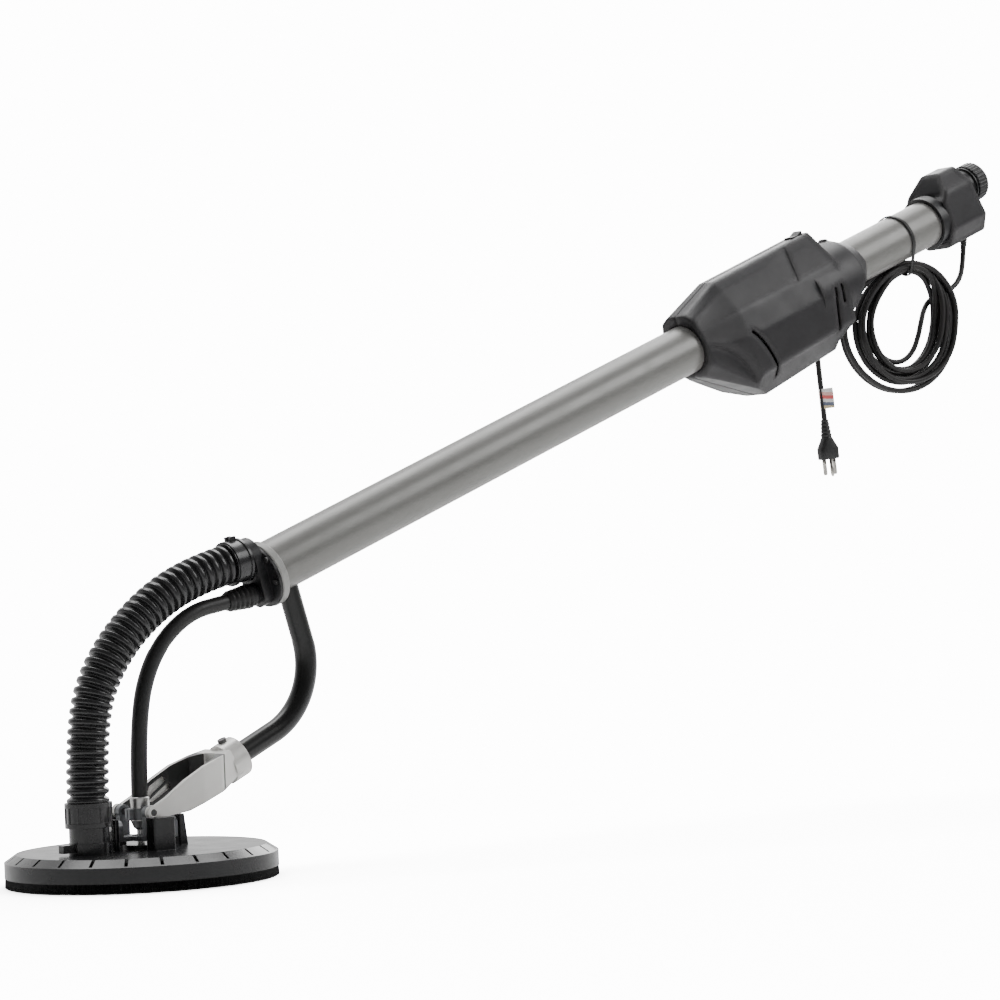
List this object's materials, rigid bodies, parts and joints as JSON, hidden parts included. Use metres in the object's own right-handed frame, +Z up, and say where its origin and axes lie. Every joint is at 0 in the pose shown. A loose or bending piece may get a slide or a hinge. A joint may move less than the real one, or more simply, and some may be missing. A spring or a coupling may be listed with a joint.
{
  "type": "pole drywall sander",
  "caption": "Long-reach drywall sander: round sanding head on a two-way gimbal, bent arm, tube with motor housing, dust hose, flexible drive shaft and mains cord.",
  "frame": {"origin": "centre of the sanding face at the underside of the abrasive disc", "axes": "+X from the head towards the handle end, along the floor projection of the pole; +Z up, square to the sanding face; +Y completes the frame, across the tool"},
  "size_m": [1.2825, 0.2426, 0.7003],
  "materials": {
    "tube": "satin warm grey coating",
    "arm": "satin black coating",
    "housing": "moulded charcoal",
    "black_plastic": "moulded black",
    "shroud": "moulded black, slightly dusty",
    "gloss_black": "glossy ribbed",
    "rubber": "soft black",
    "cord": "satin jacket",
    "light_grey": "light grey",
    "gimbal": "grey coated",
    "cast": "die cast, silver",
    "steel": "turned",
    "dark_steel": "blackened",
    "brass": "contacts",
    "copper": "copper bars",
    "foam": "closed foam",
    "abrasive": "coated abrasive",
    "bristle": "nylon bristles",
    "tag": "plain banded tag",
    "inner_plastic": "moulded"
  },
  "bodies": {
    "pole": {"main_tube": "tube", "rear_tube": "tube", "front_flange": "light_grey", "front_end_cap": "black_plastic", "end_cap_screws": "dark_steel", "upper_hose_cuff": "gloss_black", "shaft_boot": "rubber", "control_arm": "arm", "yoke": "cast", "yoke_clamp_screw": "dark_steel", "yoke_pins": "dark_steel", "inner_shaft_liner": "inner_plastic", "tube_bulkhead": "inner_plastic", "housing_left": "housing", "housing_right": "housing", "housing_screws": "dark_steel", "motor_mounts": "inner_plastic", "motor_field": "dark_steel", "motor_bearings": "steel", "brush_holders": "brass", "air_duct": "inner_plastic", "rear_cap": "housing", "rear_collar": "black_plastic", "hose_outlet": "black_plastic", "cord_strain_relief": "rubber", "power_cord_lead": "cord", "power_cord_coil": "cord", "power_cord_tail": "cord", "cord_tie": "rubber", "cord_tag": "tag", "plug_body": "rubber", "plug_blades": "brass", "corrugated_hose": "gloss_black", "shaft_casing": "rubber", "flex_core": "steel"},
    "gimbal": {"gimbal_frame": "gimbal", "roll_pins": "steel"},
    "head": {"shroud": "shroud", "hose_connector": "gloss_black", "spindle_bearings": "steel", "bearing_retainer": "steel", "shaft_ferrule": "steel", "ferrule_clamp": "gimbal", "skirt_ring": "black_plastic", "skirt_bristles": "bristle"},
    "collar": {"hose_collar": "gloss_black"},
    "pad": {"drive_spindle": "steel", "backing_plate": "inner_plastic", "foam_pad": "foam", "abrasive_disc": "abrasive", "pad_screws": "steel"},
    "armature": {"armature_shaft": "steel", "rotor_core": "dark_steel", "commutator": "copper", "motor_fan": "inner_plastic"},
    "output": {"output_gear": "steel", "output_shaft": "steel"},
    "switch": {"power_switch": "black_plastic"},
    "dial": {"speed_dial": "black_plastic"},
    "lock_ring": {"hose_lock_ring": "black_plastic"}
  },
  "joints": [
    {"name": "head_tilt", "type": "hinge", "parent": "pole", "child": "gimbal", "pos_m": [-0.005, 0, 0.061], "axis": [0, 1, 0], "range_deg": [-10, 50], "deforming": ["corrugated_hose", "shaft_casing", "flex_core"]},
    {"name": "head_roll", "type": "hinge", "parent": "gimbal", "child": "head", "pos_m": [0, 0, 0.048], "axis": [1, 0, 0], "range_deg": [-10, 10], "deforming": ["corrugated_hose", "shaft_casing", "flex_core"]},
    {"name": "pad_spin", "type": "hinge", "parent": "head", "child": "pad", "pos_m": [0, 0, 0.02], "axis": [0, 0, 1], "continuous": true},
    {"name": "output_spin", "type": "hinge", "parent": "pole", "child": "output", "pos_m": [0.76594, 0, 0.49367], "axis": [0.9323, 0, 0.3616], "continuous": true},
    {"name": "armature_spin", "type": "hinge", "parent": "pole", "child": "armature", "pos_m": [0.77404, 0, 0.47279], "axis": [0.9323, 0, 0.3616], "continuous": true},
    {"name": "hose_collar_turn", "type": "hinge", "parent": "head", "child": "collar", "pos_m": [-0.054, 0, 0.06], "axis": [0, 0, 1], "range_deg": [-30, 30]},
    {"name": "switch_rock", "type": "hinge", "parent": "pole", "child": "switch", "pos_m": [0.85958, 0, 0.60346], "axis": [0, 1, 0], "range_deg": [0, 8]},
    {"name": "dial_turn", "type": "hinge", "parent": "pole", "child": "dial", "pos_m": [0.90432, 0, 0.59872], "axis": [0, 1, 0], "range_deg": [-140, 140]},
    {"name": "lock_ring_turn", "type": "hinge", "parent": "pole", "child": "lock_ring", "pos_m": [1.14336, 0, 0.67653], "axis": [0.9323, 0, 0.3616], "range_deg": [0, 90]}
  ],
  "couplings": [
    {"joint": "output_spin", "follows": "pad_spin", "ratio": 1},
    {"joint": "armature_spin", "follows": "pad_spin", "ratio": -6}
  ]
}
